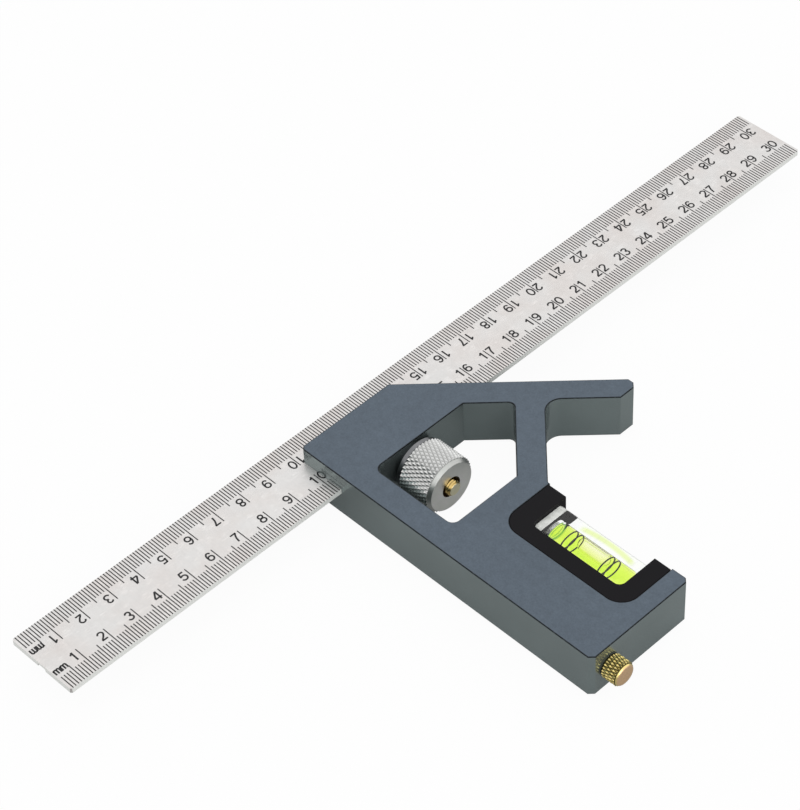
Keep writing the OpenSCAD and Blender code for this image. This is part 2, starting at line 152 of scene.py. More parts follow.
class ClampSettings(bpy.types.PropertyGroup):
    knob: bpy.props.FloatVectorProperty(
        name="Knob", description="Colour of the bright knob", subtype="COLOR",
        default=(0.72, 0.725, 0.715), min=0, max=1)
    knob_face: bpy.props.FloatVectorProperty(
        name="Knob Face", description="Colour of the knob's faced end", subtype="COLOR",
        default=(0.98, 0.99, 0.95), min=0, max=1)
    knob_bevel: bpy.props.FloatVectorProperty(
        name="Knob Bevel", description="Colour of the bevel round the knob's face",
        subtype="COLOR", default=(0.56, 0.57, 0.55), min=0, max=1)
    # The rim and its groove are painted dark as painted shade
    knob_rim: bpy.props.FloatVectorProperty(
        name="Knob Rim", description="Colour of the knob's plain rim", subtype="COLOR",
        default=(0.2, 0.203, 0.21), min=0, max=1)
    brass: bpy.props.FloatVectorProperty(
        name="Brass", description="Colour of the turned brass", subtype="COLOR",
        default=(0.74, 0.53, 0.20), min=0, max=1)
    brass_end: bpy.props.FloatVectorProperty(
        name="Brass End", description="Colour of the stud's faced end", subtype="COLOR",
        default=(0.98, 0.93, 0.66), min=0, max=1)
    spring: bpy.props.FloatVectorProperty(
        name="Spring", description="Colour of the spring's wire", subtype="COLOR",
        default=(0.42, 0.43, 0.44), min=0, max=1)
    knurl_depth: bpy.props.FloatProperty(
        name="Knurl Depth", description="Depth of the knob's knurl", unit="LENGTH",
        default=0.45 * MM)
    # Painted reflection of the brass stud and painted shade inside the knob's recess
    recess: bpy.props.FloatVectorProperty(
        name="Recess", description="Colour inside the knob's recess, which mirrors the stud",
        subtype="COLOR", default=(0.20, 0.14, 0.075), min=0, max=1)
    recess_width: bpy.props.FloatProperty(
        name="Recess Width", description="Diameter of the knob's recess", unit="LENGTH",
        default=7 * MM)
    bevel_width: bpy.props.FloatProperty(
        name="Bevel Width", description="Length of the bevel round the knob's face",
        unit="LENGTH", default=1.22 * MM)
    rim_width: bpy.props.FloatProperty(
        name="Rim Width", description="Width of the knob's plain rim and its groove",
        unit="LENGTH", default=3.5 * MM)
    stud_width: bpy.props.FloatProperty(
        name="Stud Width", description="Outer diameter of the stud's thread", unit="LENGTH",
        default=5 * MM)
    pitch: bpy.props.FloatProperty(
        name="Pitch", description="Pitch of the stud's thread", unit="LENGTH", default=0.8 * MM)
    thread_turns: bpy.props.IntProperty(
        name="Thread Turns", description="Number of turns of thread at the stud's end", default=8)
    thread_depth: bpy.props.FloatProperty(
        name="Thread Depth", description="Depth of the stud's thread", unit="LENGTH",
        default=0.42 * MM)


class ScriberSettings(bpy.types.PropertyGroup):
    brass: bpy.props.FloatVectorProperty(
        name="Brass", description="Colour of the knurled brass", subtype="COLOR",
        default=(0.98, 0.80, 0.30), min=0, max=1)
    end: bpy.props.FloatVectorProperty(
        name="End", description="Colour of the faced end", subtype="COLOR",
        default=(0.96, 0.66, 0.38), min=0, max=1)
    pin: bpy.props.FloatVectorProperty(
        name="Pin", description="Colour of the hardened pin", subtype="COLOR",
        default=(0.42, 0.43, 0.44), min=0, max=1)
    end_width: bpy.props.FloatProperty(
        name="End Width", description="Length of the plain stretch at the faced end",
        unit="LENGTH", default=0.3 * MM)
    knurl_depth: bpy.props.FloatProperty(
        name="Knurl Depth", description="Depth of the scriber head's knurl", unit="LENGTH",
        default=0.35 * MM)


class LevelSettings(bpy.types.PropertyGroup):
    holder: bpy.props.FloatVectorProperty(
        name="Holder", description="Colour of the moulded holder", subtype="COLOR",
        default=(0.0035, 0.003, 0.0045), min=0, max=1)
    rings: bpy.props.FloatVectorProperty(
        name="Rings", description="Colour of the rings' paint", subtype="COLOR",
        default=(0.001, 0.001, 0.001), min=0, max=1)
    plug: bpy.props.FloatVectorProperty(
        name="Plug", description="Colour of the moulded plug", subtype="COLOR",
        default=(0.90, 0.92, 0.88), min=0, max=1)
    tint: bpy.props.FloatVectorProperty(
        name="Tint", description="Colour of the thinnest layer of the level's liquid",
        subtype="COLOR", default=(0.97, 0.98, 0.78), min=0, max=1)
    depth_tint: bpy.props.FloatVectorProperty(
        name="Depth Tint", description="Colour that the liquid deepens to", subtype="COLOR",
        default=(0.87, 0.985, 0.03), min=0, max=1)
    # Painted dark-green shade at the rim of the liquid's start
    rim_tint: bpy.props.FloatVectorProperty(
        name="Rim Tint", description="Colour of the liquid's rim where the plug closes it",
        subtype="COLOR", default=(0.07, 0.28, 0.13), min=0, max=1)
    depth: bpy.props.FloatProperty(
        name="Depth", description="How fast the liquid deepens, for each metre", default=330)
    acrylic_index: bpy.props.FloatProperty(
        name="Acrylic Index", description="Refractive index of the vial", default=1.49)
    liquid_index: bpy.props.FloatProperty(
        name="Liquid Index", description="Refractive index of the liquid", default=1.45)
    bubble_index: bpy.props.FloatProperty(
        name="Bubble Index", description="Refractive index of the bubble", default=1.4)
    bubble_length: bpy.props.FloatProperty(
        name="Bubble Length", description="Length of the bubble", unit="LENGTH",
        default=11.6 * MM)
    bubble_width: bpy.props.FloatProperty(
        name="Bubble Width", description="Width of the bubble", unit="LENGTH", default=7.4 * MM)
    bubble_height: bpy.props.FloatProperty(
        name="Bubble Height", description="Height of the bubble", unit="LENGTH",
        default=4.6 * MM)
    ring_gap: bpy.props.FloatProperty(
        name="Ring Gap", description="Distance between the two inner rings", unit="LENGTH",
        default=11.9 * MM)
    ring_pitch: bpy.props.FloatProperty(
        name="Ring Pitch", description="Distance between the rings of a pair", unit="LENGTH",
        default=2.1 * MM)
    ring_spread: bpy.props.FloatProperty(
        name="Ring Spread", description="Width of the paint of a ring, in widths of its groove",
        default=1.35)
    far_bevel: bpy.props.FloatProperty(
        name="Far Bevel", description="Bevel of the vial's lower outer edge", unit="LENGTH",
        default=0.1 * MM)
    end_round: bpy.props.FloatProperty(
        name="End Round", description="Radius of the rounded ends of the liquid's bore",
        unit="LENGTH", default=1.4 * MM)


class StageSettings(bpy.types.PropertyGroup):
    floor: bpy.props.FloatVectorProperty(
        name="Floor", description="Colour of the floor", subtype="COLOR",
        default=(0.92, 0.92, 0.92), min=0, max=1)
    vial_glow: bpy.props.FloatVectorProperty(
        name="Vial Glow", description="Colour of the light that the level throws on the floor",
        subtype="COLOR", default=(0.86, 0.96, 0.50), min=0, max=1)
    floor_shine: bpy.props.FloatProperty(
        name="Floor Shine", description="Brightness of the floor in reflections", default=0.45)
    sky: bpy.props.FloatProperty(
        name="Sky", description="Brightness of the even light from all round", default=0.8)
    key_power: bpy.props.FloatProperty(
        name="Key Power", description="Power of the softbox behind the square", unit="POWER",
        default=1.5)
    fill_power: bpy.props.FloatProperty(
        name="Fill Power", description="Power of the softbox beside the camera", unit="POWER",
        default=5)
    camera_place: bpy.props.FloatVectorProperty(
        name="Camera Place", description="Where the camera stands", subtype="TRANSLATION",
        unit="LENGTH", default=(0.42679, -0.36164, 0.60752))
    camera_aim: bpy.props.FloatVectorProperty(
        name="Camera Aim", description="Direction in which the camera looks", subtype="XYZ",
        default=(-0.51833, 0.46919, -0.71498))
    camera_up: bpy.props.FloatVectorProperty(
        name="Camera Up", description="Direction that is up in the picture", subtype="XYZ",
        default=(-0.49081, 0.52145, 0.69800))
    lens: bpy.props.FloatProperty(
        name="Lens", description="Focal length of the camera, in millimetres", default=127.17)


# Materials

class Wire:
    """The output of a node, on which Python's arithmetic adds Math nodes."""

    def __init__(self, finish, socket):
        self.finish = finish
        self.socket = socket

    def math(self, operation, *values):
        return self.finish.node(
            "ShaderNodeMath", {"operation": operation}, dict(enumerate(values)))

    def __add__(self, other):
        return self.math("ADD", self, other)

    def __sub__(self, other):
        return self.math("SUBTRACT", self, other)

    def __rsub__(self, other):
        return self.math("SUBTRACT", other, self)

    def __mul__(self, other):
        return self.math("MULTIPLY", self, other)

    def __truediv__(self, other):
        return self.math("DIVIDE", self, other)

    def __rtruediv__(self, other):
        return self.math("DIVIDE", other, self)

    def __pow__(self, other):
        return self.math("POWER", self, other)

    def __rpow__(self, other):
        return self.math("POWER", other, self)

    def __abs__(self):
        return self.math("ABSOLUTE", self)

    __radd__ = __add__
    __rmul__ = __mul__

    def clamped(self):
        """The value kept from 0 to 1."""
        return self.math("MAXIMUM", self.math("MINIMUM", self, 1.0), 0.0)

    def over(self, limit):
        """1 above the limit and 0 below it."""
        return self.math("GREATER_THAN", self, limit)


class Finish:
    """The node graph of a material or of the world. Every node comes from its node method."""

    def __init__(self, tree):
        self.tree = tree
        self.tree.nodes.clear()

    def node(self, kind, settings=None, inputs=None, output=0):
        """Adds a node with its settings, and its inputs as values or wires. Returns one of its
        outputs, or the node itself where it has none."""
        made = self.tree.nodes.new(kind)
        for name, value in (settings or {}).items():
            setattr(made, name, value)
        for name, value in (inputs or {}).items():
            if isinstance(value, Wire):
                self.tree.links.new(value.socket, made.inputs[name])
            else:
                made.inputs[name].default_value = value
        return Wire(self, made.outputs[output]) if made.outputs else made

    def place(self, scale=1.0, turn=(0, 0, 0)):
        """Object coordinates in millimetres, divided by scale along each axis."""
        scales = [1 / (MM * s) for s in (scale if isinstance(scale, tuple) else (scale,) * 3)]
        here = self.node("ShaderNodeTexCoord", output="Object")
        return self.node("ShaderNodeMapping", None,
                         {"Vector": here, "Scale": scales, "Rotation": turn})

    def axis(self, letter):
        """The place along one axis, in millimetres."""
        return self.node("ShaderNodeSeparateXYZ", None, {"Vector": self.place()}, output=letter)

    def radius(self, y):
        """The distance from the line along X that is y metres up the blade, in millimetres."""
        return ((self.axis("Y") - y / MM) ** 2.0 + self.axis("Z") ** 2.0) ** 0.5

    def noise(self, scale, detail=3.0, roughness=0.5, turn=(0, 0, 0)):
        """Noise about 0, from about -1 to 1, with grains of about the given size in mm."""
        value = self.node("ShaderNodeTexNoise", None, {
            "Vector": self.place(scale, turn), "Scale": 1.0, "Detail": detail,
            "Roughness": roughness})
        return (value - 0.5) * 2.0

    def attribute(self, name):
        return self.node("ShaderNodeAttribute", {"attribute_name": name}, output="Fac")

    def blend(self, factor, first, second):
        return self.node("ShaderNodeMix", {"data_type": "RGBA"}, {0: factor, 6: first, 7: second},
                         output=2)

    def tint(self, colour, change):
        """The colour made lighter or darker by a change about 0."""
        grey = self.node("ShaderNodeCombineColor", None,
                         {"Red": change + 1.0, "Green": change + 1.0, "Blue": change + 1.0})
        return self.node("ShaderNodeMix", {"data_type": "RGBA", "blend_type": "MULTIPLY"},
                         {0: 1.0, 6: (*colour, 1), 7: grey}, output=2)

    def bump(self, height, strength, distance):
        return self.node("ShaderNodeBump", None, {
            "Height": height, "Strength": strength, "Distance": distance})

    def surface(self, shader, inside=None):
        """Ends the graph of a material, with what fills the inside where there is something."""
        shaders = {"Surface": shader}
        if inside is not None:
            shaders["Volume"] = inside
        self.node("ShaderNodeOutputMaterial", None, shaders)


def new_material(name, viewport):
    """A material and the builder of its graph. Viewport is its colour in solid view."""
    material = bpy.data.materials.new(name)
    material.use_nodes = True
    material.diffuse_color = (*viewport, 1)
    return material, Finish(material.node_tree)


def blasted_coating(coating, sides, edges):
    """Fine blasted grain on both faces, smooth milled sides, and broken edges darkened with painted
    shade.
    """
    material, finish = new_material("Blasted grey coating", coating)
    side = finish.attribute("side")
    edge = finish.attribute("edge")
    cloud = finish.noise(14, 2.0)
    blotch = finish.noise(2.6, 2.0)
    grain = finish.noise(0.55, 4.0, 0.65)
    fine = finish.noise(0.24, 2.0, 0.6)
    face = 1.0 - side
    flat = finish.blend(side, finish.tint(coating, cloud * 0.09 + blotch * 0.14 + grain * 0.34),
                        finish.tint(sides, cloud * 0.1 + grain * 0.04))
    # Painted shade on the broken edges, dotted by the grain
    wear_and_edge_shade = (edge * (grain * 1.5 + 1.1)).clamped()
    finish.surface(finish.node("ShaderNodeBsdfPrincipled", None, {
        "Base Color": finish.blend(wear_and_edge_shade, flat, (*edges, 1)),
        "Metallic": side * 0.8,
        "Specular IOR Level": 0.3,
        "Roughness": side * -0.34 + grain * face * 0.08 + 0.56,
        "Normal": finish.bump((grain + fine) * (face * 0.9 + 0.1), 0.5, 0.04 * MM),
    }))
    return material


def satin_steel(colour, ground_colour, low, high):
    """Satin stainless steel: faint grain across the blade, fine hairlines, soft warm and cool
    clouds, and bright ground edges. Low and high are the corners of the blade."""
    material, finish = new_material("Satin stainless steel", colour)
    cloud = finish.noise(11, 3.0)
    mottle = finish.noise(1.6, 3.0, 0.6)
    grain = finish.noise((5.0, 0.35, 5.0), 3.0, 0.6)
    hair = (1.0 - abs(finish.noise((0.7, 5.0, 5.0), 2.0, 0.5, (0, 0, 0.5))) * 6.0).clamped()
    hair = hair * (finish.noise(3.0, 1.0) * 3.0).clamped()
    shade = mottle * 0.09 + grain * 0.03 + hair * 0.12
    warm = finish.tint((colour[0], colour[1] * 0.965, colour[2] * 0.95), shade - 0.03)
    cool = finish.tint(colour, shade)
    top = finish.blend((cloud * 1.6 + 0.5).clamped(), cool, warm)
    ground = 0.0
    for letter, least, most in (("X", low.x, high.x), ("Y", low.y, high.y)):
        along = finish.axis(letter)
        ground = ground + along.over((most - SKIN) / MM) + 1.0 - along.over((least + SKIN) / MM)
    ground = ground.clamped()
    finish.surface(finish.node("ShaderNodeBsdfPrincipled", None, {
        "Base Color": finish.blend(ground, top, (*ground_colour, 1)),
        "Metallic": 0.85 - ground * 0.6,
        "Roughness": mottle * 0.06 + 0.44,
        "Normal": finish.bump(grain + mottle * 0.6, 0.25, 0.02 * MM),
    }))
    return material


def filled_ink(colour):
    """Dark filling of the etched marks, a little rubbed."""
    material, finish = new_material("Filled marks", colour)
    wear_and_edge_shade = finish.noise(0.5, 2.0)
    finish.surface(finish.node("ShaderNodeBsdfPrincipled", None, {
        "Base Color": finish.tint(colour, wear_and_edge_shade * 0.5),
        "Roughness": 0.6,
    }))
    return material


def bright_metal(name, colour, roughness, grain_size, knurl=None, zones=(), recess=None):
    """Machined metal: fine tool marks round an axis along X, and slight stains.

    A knurl is how far up the blade its axis lies, its outer radius, its depth and how dark the
    painted shade in its grooves is. A zone is a stretch along X with its own colour and roughness. A
    recess is how far up its axis lies, its radius and the colour painted inside it, a painted
    reflection in painted shade."""
    material, finish = new_material(name, colour)
    stain = finish.noise(3.0, 3.0)
    marks = finish.noise((grain_size, 4.0, 4.0), 2.0, 0.6)
    shade = stain * 0.08
    if knurl:
        y, outer, depth, dark = knurl
        radius = finish.radius(y)
        # Painted shade in the knurl's grooves, darkest at their bottoms
        painted_groove_shade = (((outer - depth * 0.3) / MM - radius) / (depth * 0.6 / MM)).clamped()
        shade = shade - painted_groove_shade * radius.over((outer - depth * 1.1) / MM) * dark
    base = finish.tint(colour, shade)
    rough = stain * 0.06 + marks * 0.05 + roughness
    for start, stop, other, smooth in zones:
        along = finish.axis("X")
        within = along.over(start / MM) * (1.0 - along.over(stop / MM))
        base = finish.blend(within, base, finish.tint(other, stain * 0.1))
        rough = rough + within * (smooth - roughness)
    if recess:
        # Inside the recess the colour is a painted reflection of the stud in painted shade
        y, outer, shaded = recess
        outside = finish.radius(y).over((outer + 2 * SKIN) / MM)
        base = finish.blend(outside, (*shaded, 1), base)
    finish.surface(finish.node("ShaderNodeBsdfPrincipled", None, {
        "Base Color": base,
        "Metallic": 1.0,
        "Roughness": rough,
        "Normal": finish.bump(marks, 0.2, 0.01 * MM),
    }))
    return material


def moulded_black(colour):
    """Black moulded plastic with a fine even texture."""
    material, finish = new_material("Moulded black plastic", colour)
    grain = finish.noise(0.3, 2.0, 0.6)
    cloud = finish.noise(8, 2.0)
    finish.surface(finish.node("ShaderNodeBsdfPrincipled", None, {
        "Base Color": finish.tint(colour, cloud * 0.2),
        "Specular IOR Level": 0.12,
        "Roughness": grain * 0.06 + cloud * 0.04 + 0.42,
        "Normal": finish.bump(grain, 0.25, 0.01 * MM),
    }))
    return material


def clear_acrylic(index):
    """Polished clear acrylic with faint polishing waves."""
    material, finish = new_material("Clear acrylic", (0.9, 0.95, 0.92))
    wave = finish.noise(4.0, 2.0)
    finish.surface(finish.node("ShaderNodeBsdfPrincipled", None, {
        "Base Color": finish.tint((0.985, 0.995, 0.985), wave * 0.01),
        "Roughness": 0.0,
        "IOR": index,
        "Transmission Weight": 1.0,
    }))
    return material


def level_liquid(sizes, start, y):
    """The tinted liquid, which deepens with its thickness, with painted dark-green shade at the rim
    of its start, where the plug closes it. Its axis is y metres up the blade. Its index is relative
    to the acrylic that it fills."""
    material, finish = new_material("Level liquid", sizes.depth_tint)
    cloud = finish.noise(5.0, 2.0)
    # Painted shade: a dark-green band round the rim of the liquid's start
    rim_length, rim_radius = 0.9, 2.8
    rim = ((start / MM + rim_length - finish.axis("X")) / 0.5).clamped()
    rim = rim * ((finish.radius(y) - rim_radius) / 0.4).clamped()
    skin = finish.node("ShaderNodeBsdfPrincipled", None, {
        "Base Color": finish.blend(rim, finish.tint(sizes.tint, cloud * 0.02),
                                   (*sizes.rim_tint, 1)),
        "Roughness": 0.0,
        "IOR": sizes.liquid_index / sizes.acrylic_index,
        "Transmission Weight": 1.0,
    })
    inside = finish.node("ShaderNodeVolumeAbsorption", None, {
        "Color": (*sizes.depth_tint, 1), "Density": sizes.depth})
    finish.surface(skin, inside)
    return material


def bubble_air(index):
    """Air in the liquid. Its index is relative to that of the acrylic."""
    material, finish = new_material("Bubble", (0.95, 1.0, 0.9))
    cloud = finish.noise(5.0, 2.0)
    finish.surface(finish.node("ShaderNodeBsdfPrincipled", None, {
        "Base Color": finish.tint((0.99, 0.99, 0.99), cloud * 0.01),
        "Roughness": 0.0,
        "IOR": index,
        "Transmission Weight": 1.0,
    }))
    return material


def frosted_plug(colour, index):
    """The plug's pale moulded acrylic, ground on its faces."""
    material, finish = new_material("Frosted plug", (0.8, 0.82, 0.78))
    cloud = finish.noise(2.0, 3.0)
    grain = finish.noise(0.3, 2.0)
    finish.surface(finish.node("ShaderNodeBsdfPrincipled", None, {
        "Base Color": finish.tint(colour, cloud * 0.35),
        "Roughness": (grain * 0.08 + 0.3).clamped(),
        "IOR": index,
        "Transmission Weight": 0.12,
    }))
    return material


# Making pieces

def merged_copy(node):
    """A copy of a node's mesh with its loose triangles joined and its flat faces made whole."""
    bm = bmesh.new()
    bm.from_mesh(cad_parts[node].data)
    bmesh.ops.remove_doubles(bm, verts=bm.verts, dist=TOUCH / 2)
    bmesh.ops.dissolve_limit(bm, angle_limit=math.radians(0.2), verts=bm.verts, edges=bm.edges)
    return bm


def make_piece(name, bm, body, material, smooth_below=30):
    """Makes a piece that rides on a body. Its edges look sharp from so many degrees up."""
    mesh = bpy.data.meshes.new(name)
    bm.to_mesh(mesh)
    bm.free()
    mesh.shade_smooth()
    mesh.set_sharp_from_angle(angle=math.radians(smooth_below))
    piece = bpy.data.objects.new(name, mesh)
    bpy.context.scene.collection.objects.link(piece)
    piece.data.materials.append(material)
    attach(piece, body)
    return piece


def give_material(node, material):
    """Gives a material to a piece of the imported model."""
    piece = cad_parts[node]
    piece.data.materials.clear()
    piece.data.materials.append(material)


def close_end(bm, place, side):
    """Cuts a mesh off square at a place along X, on the side of rising X where side is 1 and of
    falling X where it is -1, and closes the cut."""
    cut = bmesh.ops.bisect_plane(
        bm, geom=bm.verts[:] + bm.edges[:] + bm.faces[:], plane_co=(place, 0, 0),
        plane_no=(side, 0, 0), clear_outer=True)
    rim = [g for g in cut["geom_cut"] if isinstance(g, bmesh.types.BMEdge)]
    if not rim:
        raise RuntimeError("there is nothing to cut at this place")
    bmesh.ops.contextual_create(bm, geom=rim)


def join_mesh(bm, part):
    """Adds a finished part to a mesh and frees the part."""
    mesh = bpy.data.meshes.new("part")
    part.to_mesh(mesh)
    part.free()
    bm.from_mesh(mesh)


# Scale

# The strokes of the numerals on a field 1 high. A bow is an oval's centre, its two radii, and
# the angles where it starts and ends; a line is a row of points.
NUMERALS = {
    "0": [("bow", 0.33, 0.5, 0.27, 0.445, 0, 360)],
    "1": [("line", (0.37, 0.0), (0.37, 1.0)), ("line", (0.37, 0.95), (0.25, 0.81), (0.12, 0.75))],
    "2": [("bow", 0.33, 0.70, 0.255, 0.245, 170, -32),
          ("line", (0.545, 0.575), (0.37, 0.36), (0.18, 0.20), (0.075, 0.04)),
          ("line", (0.04, 0.065), (0.61, 0.065))],
    "3": [("bow", 0.32, 0.735, 0.225, 0.21, 165, -90), ("bow", 0.32, 0.285, 0.265, 0.235, 90, -165)],
    "4": [("line", (0.50, 0.0), (0.50, 1.0)), ("line", (0.47, 0.97), (0.02, 0.27)),
          ("line", (0.0, 0.25), (0.68, 0.25))],
    "5": [("line", (0.57, 0.935), (0.12, 0.935)), ("line", (0.16, 0.98), (0.09, 0.46)),
          ("bow", 0.31, 0.325, 0.28, 0.27, 142, -162)],
    "6": [("bow", 0.335, 0.315, 0.26, 0.26, 0, 360), ("bow", 0.345, 0.5, 0.27, 0.445, 38, 195)],
    "7": [("line", (0.05, 0.935), (0.63, 0.935)),
          ("line", (0.59, 0.96), (0.42, 0.68), (0.31, 0.42), (0.25, 0.0))],
    "8": [("bow", 0.33, 0.74, 0.215, 0.205, 0, 360), ("bow", 0.33, 0.285, 0.265, 0.235, 0, 360)],
    "9": [("bow", 0.335, 0.685, 0.26, 0.26, 0, 360), ("bow", 0.325, 0.5, 0.27, 0.445, -142, 15)],
    "m": [("line", (0.06, 0.0), (0.06, 0.56)), ("line", (0.32, 0.0), (0.32, 0.4)),
          ("line", (0.58, 0.0), (0.58, 0.4)), ("bow", 0.19, 0.39, 0.13, 0.13, 0, 180),
          ("bow", 0.45, 0.39, 0.13, 0.13, 0, 180)],
}
NUMERAL_WIDTH = 0.66
STROKE = 0.165


def numeral_mesh(strokes, thickness):
    """A numeral's strokes as flat bands: round strokes are swept, then pressed flat."""
    curve = bpy.data.curves.new("numeral", "CURVE")
    curve.dimensions = "3D"
    curve.bevel_depth = STROKE / 2
    curve.bevel_resolution = 1
    curve.use_fill_caps = True
    for kind, *shape in strokes:
        if kind == "bow":
            x, y, across, along, start, end = shape
            full = abs(end - start) == 360
            steps = max(6, round(abs(end - start) / 20))
            turns = [math.radians(start + (end - start) * k / steps)
                     for k in range(steps if full else steps + 1)]
            points = [(x + across * math.cos(t), y + along * math.sin(t)) for t in turns]
        else:
            full, points = False, shape
        spline = curve.splines.new("POLY")
        spline.points.add(len(points) - 1)
        for point, (x, y) in zip(spline.points, points):
            point.co = (x, y, 0, 1)
        spline.use_cyclic_u = full
    swept = bpy.data.objects.new("numeral", curve)
    bpy.context.scene.collection.objects.link(swept)
    bpy.context.view_layer.update()
    mesh = bpy.data.meshes.new_from_object(
        swept.evaluated_get(bpy.context.evaluated_depsgraph_get()))
    bpy.data.objects.remove(swept)
    mesh.transform(Matrix.Diagonal((1, 1, thickness / STROKE, 1)))
    return mesh


def stamp(bm, mesh, matrix):
    """Adds a copy of a mesh at a place."""
    have = len(bm.verts)
    bm.from_mesh(mesh)
    bm.verts.ensure_lookup_table()
    bmesh.ops.transform(bm, matrix=matrix, verts=bm.verts[have:])


def mark_length(sizes, step):
    """The length of the mark that stands so many millimetres along the scale."""
    if step % 10 == 0:
        return sizes.full_mark
    return sizes.half_mark if step % 5 == 0 else sizes.step_mark


def add_marks(bm, sizes):
    """The millimetre marks along both edges of the blade."""
    for step in range(1, round((BLADE_HIGH.y - BLADE_LOW.y) / MM)):
        mark = mark_length(sizes, step)
        for x in (BLADE_HIGH.x - mark / 2, BLADE_LOW.x + mark / 2):
            bmesh.ops.create_cube(bm, size=1, matrix=Matrix.LocRotScale(
                (x, BLADE_LOW.y + step * MM, BLADE_HIGH.z), None,
                (mark, sizes.mark_width, sizes.mark_thickness)))


def add_numerals(bm, sizes):
    """The centimetres and the unit sign, in one row read from each edge of the blade."""
    height = sizes.numeral_height
    half = NUMERAL_WIDTH * height / 2
    start, top = BLADE_LOW.y, BLADE_HIGH.z
    inner, outer = BLADE_HIGH.x - sizes.numeral_edge, BLADE_LOW.x + sizes.numeral_edge
    meshes = {key: numeral_mesh(strokes, sizes.mark_thickness / height)
              for key, strokes in NUMERALS.items()}
    # A row's foot along X, the way in which it is read along Y, and the turn of its numerals
    for foot, side, turn in (
        (inner, 1, Matrix(((0, -1, 0), (1, 0, 0), (0, 0, 1)))),
        (outer, -1, Matrix(((0, 1, 0), (-1, 0, 0), (0, 0, 1)))),
    ):
        row = []
        for count in range(1, math.ceil((BLADE_HIGH.y - start) / (10 * MM))):
            place = count * 10 * MM
            digits = str(count)
            if len(digits) == 1:
                row.append((digits, place - sizes.digit_lead))
            else:
                row.append((digits[0], place - side * sizes.tens_lead))
                row.append((digits[1], place + side * sizes.units_lag))
        row.append(("m", sizes.unit_start))
        row.append(("m", sizes.unit_start + sizes.unit_pitch))
        for key, place in row:
            stamp(bm, meshes[key], Matrix.LocRotScale(
                (foot, start + place - side * half, top), turn.to_quaternion(), (height,) * 3))


# Clamp

def stud_thread(sizes, start, y):
    """The thread of the stud, from a place along X to the bolt's end: the outline of one tooth
    spun in a screw round an axis y metres up the blade, cut square at both ends and bevelled."""
    crest = sizes.stud_width / 2
    root = crest - sizes.thread_depth
    pitch = sizes.pitch
    bevel = 0.5 * MM
    steps = 32
    turns = sizes.thread_turns + 2
    axis = Vector((0, y, 0))
    thread = bmesh.new()
    tooth = [(0.0, root), (0.1, root), (0.45, crest), (0.6, crest), (0.95, root), (1.0, root)]
    verts = [thread.verts.new((start - pitch + share * pitch, y + radius, 0))
             for share, radius in tooth]
    edges = [thread.edges.new(pair) for pair in zip(verts, verts[1:])]
    bmesh.ops.spin(thread, geom=verts + edges, cent=axis, axis=(1, 0, 0),
                   dvec=(pitch / steps, 0, 0), angle=math.tau * turns, steps=steps * turns,
                   use_merge=False, use_duplicate=False)
    bmesh.ops.remove_doubles(thread, verts=thread.verts, dist=2 * TOUCH)
    close_end(thread, start - SKIN, -1)
    close_end(thread, BOLT_HIGH.x, 1)
    for v in thread.verts:
        out = Vector((0, v.co.y - y, v.co.z))
        limit = crest - bevel + (BOLT_HIGH.x - v.co.x)
        if out.length > limit:
            out *= limit / out.length
            v.co.y, v.co.z = y + out.y, out.z
    bmesh.ops.recalc_face_normals(thread, faces=thread.faces)
    return thread


# Spirit level

def bubble_form(sizes, centre, bore, skin):
    """The bubble against the outer wall of the bore round the centre, smaller by a skin."""
    half = sizes.bubble_height / 2 - skin
    straight = (sizes.bubble_length - sizes.bubble_height) / 2
    bm = bmesh.new()
    bmesh.ops.create_uvsphere(bm, u_segments=48, v_segments=32, radius=half,
                              matrix=Matrix.Rotation(math.pi / 2, 4, "Y"))
    bmesh.ops.scale(bm, verts=bm.verts, vec=(1, 1, (sizes.bubble_width / 2 - skin) / half))
    for v in bm.verts:
        v.co.x += math.copysign(straight, v.co.x) if abs(v.co.x) > TOUCH else 0
        v.co.y += bore - sizes.bubble_height / 2
        out = math.hypot(v.co.y, v.co.z)
        if out > bore - skin:
            v.co.y, v.co.z = v.co.y * (bore - skin) / out, v.co.z * (bore - skin) / out
    bmesh.ops.translate(bm, verts=bm.verts, vec=centre)
    return bm


def block_form(sizes, y, bore, bore_start):
    """The vial's clear block, with its bore from bore_start closed, so that it is solid round
    the liquid, and with its lower outer bevel made small."""
    bm = merged_copy("vial_body")
    for v in bm.verts:
        in_bore = Vector((0, v.co.y - y, v.co.z)).length < bore + SKIN
        if in_bore and bore_start < v.co.x < VIAL_HIGH.x - SKIN:
            v.co.x = bore_start
        if v.co.y > VIAL_HIGH.y - MM and v.co.z < VIAL_LOW.z + MM:
            on_floor = v.co.z < VIAL_LOW.z + SKIN
            v.co.y = VIAL_HIGH.y - (sizes.far_bevel if on_floor else 0)
            v.co.z = VIAL_LOW.z + (0 if on_floor else sizes.far_bevel)
    return bm


def ring_form(sizes, middle):
    """The paint of the two pairs of rings round the middle of the vial."""
    places = [middle + side * (sizes.ring_gap / 2 + pitch)
              for side in (-1, 1) for pitch in (0, sizes.ring_pitch)]
    bm = merged_copy("vial_rings")
    for v in bm.verts:
        ring = min(places, key=lambda place: abs(place - v.co.x))
        v.co.x = ring + (v.co.x - ring) * sizes.ring_spread
    return bm


